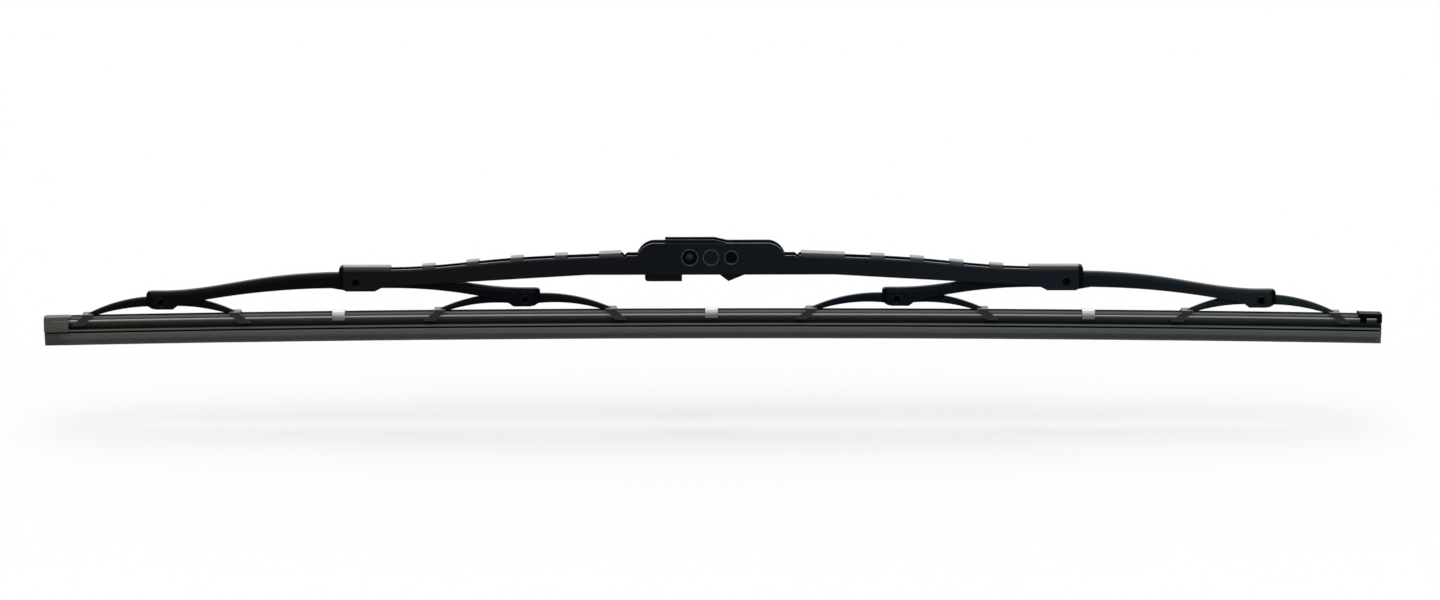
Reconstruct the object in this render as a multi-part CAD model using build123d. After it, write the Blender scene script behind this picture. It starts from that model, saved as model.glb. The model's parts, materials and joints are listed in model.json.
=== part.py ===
import os
from math import asin, degrees, sqrt

from build123d import *

# A bracket wiper blade in millimetres. X runs along the blade, -Y is its front and Z is up.
# The origin is the middle of the adapter rivet, about which the blade turns on its arm.

# Wiping strip, bowed so that its middle stands above its ends
strip_length = 600.0
strip_shift = 0.8
strip_bow = 2.8
strip_top = -24.1

# Rubber section, from its back down to the wiping edge
head_half_width = 3.4
head_corner = 0.3
head_height = 1.4
spine_half_width = 1.25
ledge_half_width = 2.5
ledge_height = 0.55
ledge_slope = 0.7
neck_half_width = 1.3
neck_height = 1.0
shoulder_half_width = 3.2
shoulder_slope = 0.7
shoulder_height = 0.8
hinge_half_width = 0.45
hinge_height = 0.85
lip_half_width = 2.6
lip_shoulder_height = 0.5
lip_height = 5.1
lip_edge_half_width = 0.4

# Moulded block on the left end of the rubber, and its slits over the rails
block_length = 11.0
block_side_wall = 0.4
block_corner = 1.0
slit_height = 0.7
rail_end_cover = 3.0

# Steel rails
rail_width = 2.9
rail_thickness = 1.5
rail_fit = 0.05

# Bright clips round the strip
clip_positions = {"left": -167.0, "centre": 0.2, "right": 169.2}
clip_length = 5.7
clip_sheet = 0.4
clip_gap = 0.1
clip_hook = 1.3

# Black clip on the right end of the rails
end_clip_length = 10.8
end_clip_sheet = 0.5
end_clip_leg = 2.9
end_clip_leg_inset = 1.0
end_clip_tab = 2.3
end_clip_skirt = 1.25
end_clip_nub = 0.6

# Claws of the yokes
claw_length = 5.0
claw_slant = 4.6
claw_sheet = 0.8
claw_gap = 0.15
claw_hook = 1.3

# Sheet thickness and bend radius of the stamped channels
primary_sheet = 1.1
primary_bend = 2.0
secondary_sheet = 0.9
secondary_bend = 1.8
yoke_sheet = 0.8
yoke_bend = 1.2

# Primary lever
primary_centre_width = 13.6
primary_end_width = 10.8
primary_pivot_x = 159.2
primary_pivot_z = -11.3
primary_end = 5.5
primary_end_top = 7.1
primary_end_bottom = 3.9
primary_heel = 8.6
primary_heel_chamfer = 4.1
primary_heel_rise = 2.1
primary_corner_length = 1.2
primary_corner_rise = 0.8
primary_taper_end = 15.0
web_start = 40.3
web_start_top = 2.05
primary_belly = 7.7
primary_belly_flat = 55.0
primary_arch = 0.7
primary_start_slope = 0.7

# Hump of two cheeks in the middle of the primary lever
hump_half_length = 33.0
hump_flat_half_length = 26.0
hump_top = 6.5
hump_round = 1.27
cheek_step = 0.9
notch_centre = 38.9
notch_inner_width = 1.4
notch_outer_width = 0.7
notch_bottom = -0.2

# Wind slots in the primary web: first slot, slot length and pitch on each side
slot_drop = 1.3
slot_count = 5
slots_left = {"first": 50.2, "length": 14.1, "pitch": 19.8}
slots_right = {"first": 60.0, "length": 11.5, "pitch": 17.75}

# Holes in the cheeks for arms with a side pin
large_pin_x = -9.5
large_pin_radius = 3.25
small_pin_x = 9.1
small_pin_radius = 2.65
hole_chamfer = 0.35

# Adapter rivet and arm adapter
rivet_head_radius = 3.5
rivet_shank_radius = 2.2
adapter_side_gap = 0.25
adapter_cheek = 0.8
hook_slot = 3.2
hook_slot_end = 12.5
adapter_left = 29.6
adapter_right = 16.2
adapter_crest_left = 20.6
adapter_crest_right = 1.5
adapter_crest_rise = 1.0
adapter_ramp = 4.5
adapter_shoulder = 5.6
adapter_floor_thickness = 0.7
thumb_tab_right = 13.0
thumb_tab_drop = 3.1
thumb_tab_corner = 1.5
nose_left = 3.6
nose_tip = 7.8
nose_right = 15.6
pin_socket_floor = 2.2
pin_socket_gap = 0.25
pin_socket_wall = 0.2
pin_button_height = 0.8
pin_button_edge = 0.08
pin_button_gap = 0.85

# Pivots of the levers
lever_rivet_radius = 2.3
yoke_rivet_radius = 2.1
rivet_rim = 0.85
rivet_dimple_depth = 0.9
running_fit = 0.05
rivet_fit = 0.02

# Liners in the lever ends
liner_wall = 0.45
liner_seat_gap = 0.02
liner_side_gap = 0.08
liner_web = 0.6
liner_reach = 2.0
liner_nose_drop = 0.2
liner_nose_round = 1.3
liner_chin_round = 1.5
liner_root = 0.6
liner_toe = 1.4
liner_heel = 5.0
liner_lift = 0.5

# Secondary lever
secondary_pivot_top = 4.1
secondary_pivot_bottom = 3.6
secondary_pivot_half = 5.0
secondary_lobe_rise = 1.0
secondary_lobe_run = 6.0
lever_end_flat = 0.5
lever_end = 4.6
lever_end_top = 4.9
lever_end_bottom = 3.1
lever_end_heel = 5.3
lever_heel_chamfer = 2.8
lever_heel_rise = 2.1
lever_corner_length = 2.0
lever_corner_rise = 1.3
outer_crown = 1.35
inner_crown = 0.6
outer_belly_crown = 1.7
inner_belly_crown = 1.9

# Yokes: pivot place along X, height of the pivot over the strip, claw reach and arch of the arms
outer_yoke_inset = 53.5
yoke_sizes = {
    "outer": {"x": strip_length / 2 - outer_yoke_inset, "rise": 5.65, "reach": 37.6, "arch": 1.45,
              "belly_arch": 0.9},
    "inner": {"x": 83.3, "rise": 5.1, "reach": 43.0, "arch": 1.9, "belly_arch": 1.5},
}
yoke_top = 2.45
yoke_bottom = 3.0
yoke_flat = 6.0
yoke_arm_bottom = 1.75
yoke_lobe = 4.0

# Widths and heights that follow from the sizes above
secondary_width = primary_end_width - 2 * (primary_sheet + liner_seat_gap + liner_wall + liner_side_gap)
yoke_width = secondary_width - 2 * (secondary_sheet + liner_seat_gap + liner_wall + liner_side_gap)
adapter_width = primary_centre_width - 2 * (primary_sheet + adapter_side_gap)
strip_radius = ((strip_length / 2) ** 2 + strip_bow ** 2) / (2 * strip_bow)
strip_axis = Axis((0, 0, strip_top - strip_radius), (0, 1, 0))
slot_top_z = -head_height
slot_bottom_z = slot_top_z - rail_thickness - 2 * rail_fit
rail_outer_y = spine_half_width + rail_fit + rail_width
rail_bottom_z = slot_bottom_z + rail_fit
ledge_z = slot_bottom_z - ledge_height
neck_top_z = ledge_z - ledge_slope
neck_bottom_z = neck_top_z - neck_height
shoulder_top_z = neck_bottom_z - shoulder_slope
shoulder_bottom_z = shoulder_top_z - shoulder_height
hinge_bottom_z = shoulder_bottom_z - hinge_height
lip_shoulder_z = hinge_bottom_z - lip_shoulder_height
edge_z = lip_shoulder_z - lip_height
block_half_width = rail_outer_y + block_side_wall
strip_left = strip_shift - strip_length / 2
strip_right = strip_shift + strip_length / 2
primary_end_x = primary_pivot_x + primary_end
barrel_radius = large_pin_radius + pin_socket_gap + pin_socket_wall
adapter_floor = barrel_radius + hook_slot + adapter_floor_thickness
thumb_tab_bottom = primary_belly + thumb_tab_drop

# Cutting shapes run past what they cut, and faces that look up are rounded along the blade
cut_margin = 1.0
far_below = 60.0
upward_share = 0.7


def strip_angle(x):
    return degrees(asin(x / strip_radius))


def on_strip(x):
    """Place a shape whose own zero is the back of the strip at distance x from its middle."""
    height = strip_top - strip_radius + sqrt(strip_radius ** 2 - x ** 2)
    return Location((x, 0, height), (0, strip_angle(x), 0))


def along_strip(section, start, end):
    """Carry a section of (Y, Z) points along the bowed strip."""
    face = Location((0, 0, strip_top)) * (Plane.YZ * make_face(Polyline(*section, close=True)))
    turn = strip_angle(end) - strip_angle(start)
    return revolve(face.rotate(strip_axis, strip_angle(start)), strip_axis, revolution_arc=turn)


def both_sides(right_half):
    """Close a section whose right half is given from the middle of its top to its bottom."""
    return right_half + [(-y, z) for y, z in reversed(right_half)]


def side_plate(edges, width):
    """Extrude a closed side outline evenly to both sides of the middle plane."""
    return extrude(Plane.XZ * make_face(edges), amount=width / 2, both=True)


def cross_pin(x, z, radius, length):
    """A cylinder across the blade."""
    return Location((x, 0, z), (90, 0, 0)) * Cylinder(radius, length)


def block(x_range, width, z_range):
    """A box between two places along X and two heights."""
    size_x = x_range[1] - x_range[0]
    size_z = z_range[1] - z_range[0]
    centre = (sum(x_range) / 2, 0, sum(z_range) / 2)
    return Pos(*centre) * Box(size_x, width, size_z)


def deep_floor(top_edges):
    """A line that closes a top line far below its ends."""
    start, end = top_edges[0] @ 0, top_edges[-1] @ 1
    return [Polyline(end, (end.X, -far_below), (start.X, -far_below), start)]


def bent_bar(top_edges, floor, width, radius, plan=None):
    """A solid bar between a top line and a floor line, with its two long top edges rounded."""
    bar = side_plate([*top_edges, *floor], width)
    if plan is not None:
        bar = bar & plan
    rounded = []
    for face in bar.faces():
        if face.normal_at().Z > upward_share:
            rounded += [edge for edge in face.edges() if (edge @ 0).Y * (edge @ 1).Y > 0]
    return fillet(rounded, radius)


def channel(top_edges, floor, width, sheet, bend, plan=None, inner_plan=None):
    """A sheet-metal channel, open below and at both ends."""
    outer = bent_bar(top_edges, floor, width, bend, plan)
    lowered = [Pos(0, -sheet) * edge for edge in top_edges]
    inner = bent_bar(lowered, deep_floor(lowered), width - 2 * sheet, bend - sheet, inner_plan)
    return outer - inner


def crowned(start, end, rise):
    """An arc from start to end whose middle stands above the straight line by rise."""
    middle = ((start[0] + end[0]) / 2, (start[1] + end[1]) / 2 + rise)
    return ThreePointArc(start, middle, end)


def hook_section(half_inside, sheet, gap, hook):
    """The C of sheet that goes over the strip and under the outer edges of both rails."""
    outside = half_inside + sheet
    bottom = rail_bottom_z - gap - sheet
    right = [
        (0, gap + sheet), (outside, gap + sheet), (outside, bottom), (half_inside - hook, bottom),
        (half_inside - hook, bottom + sheet), (half_inside, bottom + sheet), (half_inside, gap), (0, gap),
    ]
    return make_face(Polyline(*right, *[(-y, z) for y, z in reversed(right[1:-1])], close=True))


def pivot_rivet(x, z, radius, length):
    """A rivet flush with both walls, with a dimple in each end."""
    body = cross_pin(x, z, radius, length)
    for side in (-1, 1):
        dimple = cross_pin(x, z, radius - rivet_rim, 2 * rivet_dimple_depth)
        body -= Pos(0, side * length / 2, 0) * dimple
    return body


def end_liner(pivot, end_x, direction, top, bottom, outer_width, inner_width, rivet_radius, sheet, bend):
    """A plastic saddle in a lever end, with a rounded nose that covers the cut end of the lever's sheet."""
    heel_x = pivot[0] - direction * liner_heel
    tip_x = end_x + direction * liner_reach
    low = bottom + liner_lift
    saddle = block(sorted((heel_x, end_x + direction * liner_root)), outer_width, (low, top))
    saddle = fillet(saddle.edges().filter_by(Axis.X).group_by(Axis.Z)[-1], bend - sheet)
    floor_edges = saddle.edges().filter_by(Axis.Y).group_by(Axis.Z)[0]
    saddle = chamfer(floor_edges.sort_by(Axis.X)[-1 if direction > 0 else 0], liner_toe)
    nose_top = top + liner_seat_gap + sheet - liner_nose_drop
    chin = low + liner_toe - liner_root
    nose = block(sorted((end_x + direction * liner_seat_gap, tip_x)), outer_width, (chin, nose_top))
    for place, radius in ((-1, liner_nose_round), (0, liner_chin_round)):
        tip_edges = nose.edges().filter_by(Axis.Y).group_by(Axis.X)[-1 if direction > 0 else 0]
        nose = fillet(tip_edges.sort_by(Axis.Z)[place], radius)
    saddle += nose
    x_range = sorted((heel_x - direction * cut_margin, tip_x + direction * cut_margin))
    saddle -= block(x_range, inner_width, (low - cut_margin, top - liner_web))
    return saddle - cross_pin(*pivot, rivet_radius + rivet_fit, 2 * outer_width)


def wiper_rubber():
    """The whole rubber moulding, with its end block."""
    right = [
        (0, 0), (head_half_width - head_corner, 0), (head_half_width, -head_corner),
        (head_half_width, slot_top_z), (spine_half_width, slot_top_z), (spine_half_width, slot_bottom_z),
        (ledge_half_width, slot_bottom_z), (ledge_half_width, ledge_z), (neck_half_width, neck_top_z),
        (neck_half_width, neck_bottom_z), (shoulder_half_width, shoulder_top_z),
        (shoulder_half_width, shoulder_bottom_z), (hinge_half_width, shoulder_bottom_z),
        (hinge_half_width, hinge_bottom_z), (lip_half_width, hinge_bottom_z),
        (lip_half_width, lip_shoulder_z), (lip_edge_half_width, edge_z),
    ]
    rubber = along_strip(both_sides(right)[:-1], strip_left, strip_right)
    end_block_section = both_sides([(block_half_width, 0), (block_half_width, shoulder_bottom_z)])
    end_block = along_strip(end_block_section, strip_left, strip_left + block_length)
    end_edges = end_block.edges().filter_by(Axis.Y).group_by(Axis.X)[0]
    rubber += fillet(end_edges, block_corner)
    pocket_start = strip_left + rail_end_cover - rail_fit
    pocket_end = strip_left + block_length + cut_margin
    for side in (-1, 1):
        inner, outer = side * spine_half_width, side * (rail_outer_y + rail_fit)
        pocket = [(inner, slot_top_z), (outer, slot_top_z), (outer, slot_bottom_z), (inner, slot_bottom_z)]
        rubber -= along_strip(pocket, pocket_start, pocket_end)
        slit_top = slot_top_z - rail_fit
        outside = side * (block_half_width + cut_margin)
        slit = [(inner, slit_top), (outside, slit_top), (outside, slit_top - slit_height),
                (inner, slit_top - slit_height)]
        rubber -= along_strip(slit, pocket_start, pocket_end)
    trim = both_sides([(block_half_width, cut_margin), (block_half_width, neck_top_z)])
    trim_start = strip_right - end_clip_sheet - clip_gap
    return rubber - along_strip(trim, trim_start, strip_right + cut_margin)


def rail(side):
    """One flat steel rail in its slot."""
    inner = side * (spine_half_width + rail_fit)
    outer = side * rail_outer_y
    top = slot_top_z - rail_fit
    section = [(inner, top), (outer, top), (outer, rail_bottom_z), (inner, rail_bottom_z)]
    end = strip_right - end_clip_sheet - clip_gap - rail_fit
    return along_strip(section, strip_left + rail_end_cover, end)


def rail_clip(x):
    """A bright clip round the strip."""
    section = hook_section(rail_outer_y + clip_gap, clip_sheet, clip_gap, clip_hook)
    return on_strip(x) * extrude(Plane.YZ * section, amount=clip_length / 2, both=True)


def rail_end_clip():
    """The end clip: a top plate, two pairs of hooked legs and an end wall."""
    half_inside = rail_outer_y + clip_gap
    section = hook_section(half_inside, end_clip_sheet, clip_gap, clip_hook)
    whole = Pos(-end_clip_length, 0, 0) * extrude(Plane.YZ * section, amount=end_clip_length)
    window_start = end_clip_leg_inset + end_clip_leg - end_clip_length
    wide = 4 * half_inside
    side_z = (2 * rail_bottom_z, -end_clip_skirt)
    whole -= block((window_start, -end_clip_tab), wide, side_z)
    whole -= block((-end_clip_length - cut_margin, end_clip_leg_inset - end_clip_length), wide, side_z)
    wall_z = (rail_bottom_z - clip_gap - end_clip_sheet, clip_gap + end_clip_sheet)
    wall = block((-end_clip_sheet, 0), 2 * (half_inside + end_clip_sheet), wall_z)
    nub_z = (clip_gap, clip_gap + end_clip_sheet + end_clip_nub)
    nub = block((-end_clip_length, end_clip_sheet - end_clip_length), 2 * head_half_width, nub_z)
    return on_strip(strip_right) * (whole + wall + nub)


def claw(inner_edge):
    """A pair of claw legs and the plate between them, slanting away from the yoke's pivot."""
    half_inside = rail_outer_y + claw_gap + clip_gap
    section = hook_section(half_inside, claw_sheet, claw_gap, claw_hook)
    top = claw_gap + claw_sheet
    bottom = rail_bottom_z - claw_gap - claw_sheet
    outer_edge = inner_edge + claw_length
    outline = Polyline(
        (inner_edge, top), (outer_edge, top), (outer_edge, claw_gap), (outer_edge + claw_slant, bottom),
        (inner_edge + claw_slant, bottom), (inner_edge, claw_gap), close=True)
    folded = Pos(inner_edge, 0, 0) * extrude(Plane.YZ * section, amount=claw_length + claw_slant)
    return folded & side_plate(outline, 4 * half_inside)


def yoke(sizes):
    """A yoke in its own frame, over the place where its pivot stands on the strip."""
    rise = sizes["rise"]
    inner_edge = sizes["reach"] - claw_slant - claw_length / 2
    tip = (inner_edge + claw_length / 2, claw_gap + claw_sheet)
    crest = (yoke_flat, rise + yoke_top)
    right_arc = crowned(crest, tip, sizes["arch"])
    left_arc = crowned((-tip[0], tip[1]), (-crest[0], crest[1]), sizes["arch"])
    top_edges = [left_arc, Line((-crest[0], crest[1]), crest), right_arc]
    belly_end = (inner_edge - claw_sheet, claw_gap)
    belly_start = (yoke_flat, rise - yoke_arm_bottom)
    lobe = (yoke_lobe, rise - yoke_bottom)
    right_belly = crowned(belly_end, belly_start, sizes["belly_arch"])
    left_belly_start = (-belly_start[0], belly_start[1])
    left_belly_end = (-belly_end[0], belly_end[1])
    left_belly = crowned(left_belly_start, left_belly_end, sizes["belly_arch"])
    floor = [
        Polyline(tip, (tip[0], claw_gap), belly_end),
        right_belly,
        Polyline(belly_start, lobe, (-lobe[0], lobe[1]), left_belly_start),
        left_belly,
        Polyline(left_belly_end, (-tip[0], claw_gap), (-tip[0], tip[1])),
    ]
    hollow = block((-inner_edge, inner_edge), 2 * yoke_width, (-2 * far_below, far_below))
    body = channel(top_edges, floor, yoke_width, yoke_sheet, yoke_bend, inner_plan=hollow)
    right_claw = claw(inner_edge)
    body = body + right_claw + mirror(right_claw, about=Plane.YZ)
    body -= cross_pin(0, rise, yoke_rivet_radius + running_fit, 2 * yoke_width)
    return on_strip(sizes["x"]) * body


def yoke_pivot(sizes):
    """Where a yoke's pivot lies in the side view."""
    place = on_strip(sizes["x"]) * Location((0, 0, sizes["rise"]))
    return place.position.X, place.position.Z


def secondary_lever(outer, inner):
    """The right-hand secondary lever, from its outer end to its inner end."""
    pivot = (primary_pivot_x, primary_pivot_z)
    outer_end = outer[0] + lever_end
    inner_end = inner[0] - lever_end
    crest = (pivot[0], pivot[1] + secondary_pivot_top)
    outer_top = outer[1] + lever_end_top
    inner_top = inner[1] + lever_end_top
    outer_heel_top = (outer[0] - lever_end_flat, outer_top)
    inner_heel_top = (inner[0] + lever_end_flat, inner_top)
    outer_mid = ((crest[0] + outer_heel_top[0]) / 2, (crest[1] + outer_top) / 2 + outer_crown)
    inner_mid = ((crest[0] + inner_heel_top[0]) / 2, (crest[1] + inner_top) / 2 + inner_crown)
    top_edges = [
        Line((inner_end, inner_top), inner_heel_top),
        Spline(inner_heel_top, inner_mid, crest, outer_mid, outer_heel_top, tangents=[(1, 0), (1, 0)]),
        Line(outer_heel_top, (outer_end, outer_top)),
    ]
    lobe_bottom = pivot[1] - secondary_pivot_bottom
    lobe_top = lobe_bottom + secondary_lobe_rise
    lobe_end = secondary_pivot_half + secondary_lobe_run

    def end_floor(yoke_at, top, direction, crown):
        """The underside of one arm, from the top corner of its end to the lobe at the main pivot."""
        end_x = yoke_at[0] + direction * lever_end
        bottom = yoke_at[1] - lever_end_bottom
        heel = yoke_at[0] - direction * lever_end_heel
        chamfer = (heel - direction * lever_heel_chamfer, bottom + lever_heel_rise)
        lobe = (pivot[0] + direction * lobe_end, lobe_top)
        lobe_corner = (pivot[0] + direction * secondary_pivot_half, lobe_bottom)
        end_line = Polyline((end_x, top), (end_x, bottom + lever_corner_rise),
                            (end_x - direction * lever_corner_length, bottom), (heel, bottom), chamfer)
        return [end_line, crowned(chamfer, lobe, crown), Line(lobe, lobe_corner)]

    lobe_right = (pivot[0] + secondary_pivot_half, lobe_bottom)
    lobe_left = (pivot[0] - secondary_pivot_half, lobe_bottom)
    lobe_line = Line(lobe_right, lobe_left)
    floor = [*end_floor(outer, outer_top, 1, outer_belly_crown), lobe_line,
             *end_floor(inner, inner_top, -1, inner_belly_crown)]
    lever = channel(top_edges, floor, secondary_width, secondary_sheet, secondary_bend)
    lever -= cross_pin(*pivot, lever_rivet_radius + running_fit, 2 * secondary_width)
    for yoke_at in (outer, inner):
        lever -= cross_pin(*yoke_at, yoke_rivet_radius + rivet_fit, 2 * secondary_width)
    return lever


def primary_arm(slots):
    """The right-hand arm of the primary lever, with its wind slots."""
    end_top = primary_pivot_z + primary_end_top
    end_bottom = primary_pivot_z - primary_end_bottom
    heel = primary_pivot_x - primary_heel
    knee = (primary_pivot_x - primary_taper_end, end_top)
    shoulder = (web_start, web_start_top)
    middle = ((knee[0] + shoulder[0]) / 2, (knee[1] + shoulder[1]) / 2 + primary_arch)
    knee_run = (knee[0] - shoulder[0], (knee[1] - shoulder[1]) * primary_start_slope)
    top_edges = [Spline(shoulder, middle, knee, tangents=[knee_run, (1, 0)]),
                 Line(knee, (primary_end_x, end_top))]
    floor = [Polyline((primary_end_x, end_top), (primary_end_x, end_bottom + primary_corner_rise),
                      (primary_end_x - primary_corner_length, end_bottom), (heel, end_bottom),
                      (heel - primary_heel_chamfer, end_bottom + primary_heel_rise),
                      (primary_belly_flat, -primary_belly), (web_start, -primary_belly), shoulder)]
    half_centre, half_end = primary_centre_width / 2, primary_end_width / 2
    plan_line = [(web_start, half_centre), (knee[0], half_end), (primary_end_x, half_end)]

    def plan(inset):
        right = [(x, y - inset) for x, y in plan_line]
        left = [(x, -y) for x, y in reversed(right)]
        face = make_face(Polyline(*right, *left, close=True))
        return extrude(face, amount=2 * far_below, both=True)

    arm = channel(top_edges, floor, primary_centre_width, primary_sheet, primary_bend,
                  plan(0), plan(primary_sheet))
    cap = side_plate([*top_edges, *deep_floor(top_edges)], 2 * primary_centre_width)
    cap -= Pos(0, 0, -slot_drop) * cap
    for index in range(slot_count):
        start = slots["first"] + index * slots["pitch"]
        slot_x = (start, start + slots["length"])
        arm -= cap & block(slot_x, 4 * primary_centre_width, (-far_below, far_below))
    return arm


def primary_cheeks():
    """The two upright cheeks of the hump, without holes."""
    right = [
        Line((hump_flat_half_length, hump_top), (0, hump_top)),
        SagittaArc((hump_half_length, cheek_step), (hump_flat_half_length, hump_top), -hump_round),
        Polyline((0, hump_top), (0, -primary_belly), (web_start, -primary_belly),
                 (web_start, cheek_step), (notch_centre + notch_outer_width, cheek_step),
                 (notch_centre, notch_bottom), (notch_centre - notch_inner_width, cheek_step),
                 (hump_half_length, cheek_step)),
    ]
    half = side_plate(right, primary_centre_width)
    inner_width = primary_centre_width - 2 * primary_sheet
    half -= block((-cut_margin, web_start + cut_margin), inner_width, (-far_below, far_below))
    return half + mirror(half, about=Plane.YZ)


def primary_lever():
    """The whole primary lever."""
    lever = primary_cheeks() + primary_arm(slots_right) + mirror(primary_arm(slots_left), about=Plane.YZ)
    across = 2 * primary_centre_width
    lever -= cross_pin(0, 0, rivet_head_radius + rivet_fit, across)
    for x, radius in ((large_pin_x, large_pin_radius), (small_pin_x, small_pin_radius)):
        lever -= cross_pin(x, 0, radius, across)
        for side in (-1, 1):
            flare = Cone(radius + hole_chamfer, radius, hole_chamfer)
            face_y = side * (primary_centre_width - hole_chamfer) / 2
            lever -= Location((x, face_y, 0), (side * 90, 0, 0)) * flare
    for side in (-1, 1):
        lever -= cross_pin(side * primary_pivot_x, primary_pivot_z, lever_rivet_radius + rivet_fit, across)
    return lever


def adapter_rivet():
    """A rivet whose heads fill the cheeks and whose shank carries the adapter."""
    heads = cross_pin(0, 0, rivet_head_radius, primary_centre_width)
    waist_length = primary_centre_width - 2 * primary_sheet
    waist = cross_pin(0, 0, 2 * rivet_head_radius, waist_length)
    return heads - (waist - cross_pin(0, 0, rivet_shank_radius, waist_length))


def arm_adapter():
    """The plastic adapter: two side plates, a floor and a core whose round end sits in the arm's hook."""
    hook_outside = barrel_radius + hook_slot
    crest = hook_outside + adapter_crest_rise
    outline = Polyline(
        (-adapter_left, 0), (-adapter_left, -thumb_tab_bottom), (-thumb_tab_right, -thumb_tab_bottom),
        (-thumb_tab_right, -adapter_floor), (nose_left, -adapter_floor), (nose_tip, -thumb_tab_bottom),
        (nose_right, -adapter_floor), (adapter_right, 0), (nose_right - adapter_ramp, adapter_shoulder),
        (adapter_crest_right + adapter_ramp, hook_outside), (adapter_crest_right, crest),
        (-adapter_crest_left, crest), (-adapter_crest_left, adapter_shoulder), close=True)
    body = side_plate(outline, adapter_width)
    tab_corner = body.edges().filter_by(Axis.Y).group_by(Axis.Z)[0].sort_by(Axis.X)[0]
    body = fillet(tab_corner, thumb_tab_corner)
    hook_width = adapter_width - 2 * adapter_cheek
    above = crest + cut_margin
    hook_room = block((0, adapter_right + cut_margin), hook_width, (-hook_outside, above))
    hook_room -= cross_pin(0, 0, barrel_radius, 2 * hook_width)
    hook_room += block((-adapter_left - cut_margin, 0), hook_width, (barrel_radius, above))
    hook_room += block((-hook_slot_end, 0), hook_width, (-hook_outside, -barrel_radius))
    body -= hook_room
    socket_depth = adapter_width / 2 - pin_socket_floor
    small_socket = cross_pin(small_pin_x, 0, small_pin_radius + pin_socket_gap, socket_depth)
    body -= Pos(0, -pin_socket_floor - socket_depth / 2, 0) * small_socket
    for side in (-1, 1):
        large_socket = cross_pin(large_pin_x, 0, large_pin_radius + pin_socket_gap, socket_depth)
        body -= Pos(0, side * (pin_socket_floor + socket_depth / 2), 0) * large_socket
        button = cross_pin(large_pin_x, 0, large_pin_radius - pin_button_gap, pin_button_height)
        button = Pos(0, side * (pin_socket_floor + pin_button_height / 2), 0) * button
        rim = button.edges().filter_by(GeomType.CIRCLE).sort_by(Axis.Y)[0 if side < 0 else -1]
        body += fillet(rim, pin_button_height - pin_button_edge)
    return body - cross_pin(0, 0, rivet_shank_radius + running_fit, 2 * adapter_width)


def lever_end_pieces(name, sizes, end_direction):
    """The liner and rivet in the end of the right-hand secondary lever that carries a yoke."""
    pivot = yoke_pivot(sizes)
    end_x = pivot[0] + end_direction * lever_end
    top = pivot[1] + lever_end_top - secondary_sheet - liner_seat_gap
    bottom = pivot[1] - lever_end_bottom
    outer_width = secondary_width - 2 * (secondary_sheet + liner_seat_gap)
    inner_width = yoke_width + 2 * liner_side_gap
    liner = end_liner(pivot, end_x, end_direction, top, bottom, outer_width, inner_width,
                      yoke_rivet_radius, secondary_sheet, secondary_bend)
    rivet = pivot_rivet(*pivot, yoke_rivet_radius, secondary_width)
    return {f"yoke_liner_{name}": liner, f"yoke_rivet_{name}": rivet}


def right_half():
    """The pieces of the right half, by name without their side."""
    outer_pivot, inner_pivot = yoke_pivot(yoke_sizes["outer"]), yoke_pivot(yoke_sizes["inner"])
    pieces = {"secondary_lever": secondary_lever(outer_pivot, inner_pivot)}
    pivot = (primary_pivot_x, primary_pivot_z)
    top = primary_pivot_z + primary_end_top - primary_sheet - liner_seat_gap
    outer_width = primary_end_width - 2 * (primary_sheet + liner_seat_gap)
    pieces["lever_liner"] = end_liner(
        pivot, primary_end_x, 1, top, primary_pivot_z - primary_end_bottom, outer_width,
        secondary_width + 2 * liner_side_gap, lever_rivet_radius, primary_sheet, primary_bend)
    pieces["lever_rivet"] = pivot_rivet(*pivot, lever_rivet_radius, primary_end_width)
    for name, direction in (("outer", 1), ("inner", -1)):
        pieces[f"yoke_{name}"] = yoke(yoke_sizes[name])
        pieces.update(lever_end_pieces(name, yoke_sizes[name], direction))
    return pieces


def all_pieces():
    """Every piece of the blade, by node name."""
    pieces = {
        "primary_lever": primary_lever(),
        "arm_adapter": arm_adapter(),
        "adapter_rivet": adapter_rivet(),
    }
    for name, piece in right_half().items():
        pieces[f"{name}_right"] = piece
        pieces[f"{name}_left"] = mirror(piece, about=Plane.YZ)
    pieces["wiper_rubber"] = wiper_rubber()
    pieces["rail_front"] = rail(-1)
    pieces["rail_rear"] = rail(1)
    for name, x in clip_positions.items():
        pieces[f"rail_clip_{name}"] = rail_clip(x)
    pieces["rail_end_clip"] = rail_end_clip()
    return pieces


os.makedirs("parts", exist_ok=True)
for node, shape in all_pieces().items():
    export_step(shape, f"parts/{node}.step")
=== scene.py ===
import json
import math

import bpy
from mathutils import Matrix, Vector

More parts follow.
